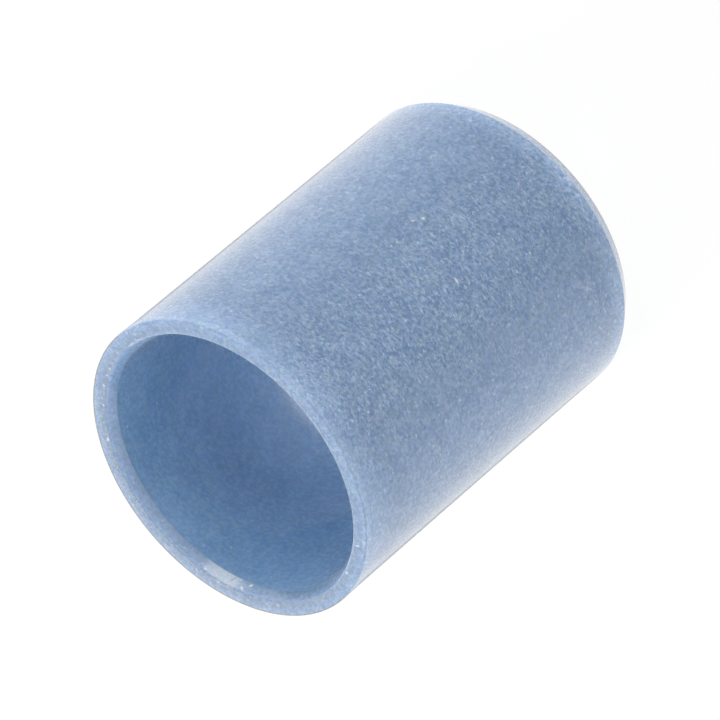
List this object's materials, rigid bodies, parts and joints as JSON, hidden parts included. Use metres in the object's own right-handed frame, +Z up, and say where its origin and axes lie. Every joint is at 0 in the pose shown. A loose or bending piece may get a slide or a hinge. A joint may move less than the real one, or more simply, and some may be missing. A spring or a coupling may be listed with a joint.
{
  "type": "sleeve bearing",
  "caption": "Plain plastic sleeve bearing: a thin straight tube with a conical mouth at both ends of its bore and a conical lead-in outside one end.",
  "frame": {"origin": "centre of the foot, the end with the lead-in outside, on which the sleeve stands", "axes": "+Z up the bore, from the foot to the flat head; the sleeve is round about Z, so X and Y are free"},
  "size_m": [0.023, 0.023, 0.03],
  "materials": {
    "bearing_plastic": "matt blue plastic with short pale fibres"
  },
  "bodies": {
    "root": {"sleeve": "bearing_plastic"}
  },
  "joints": []
}
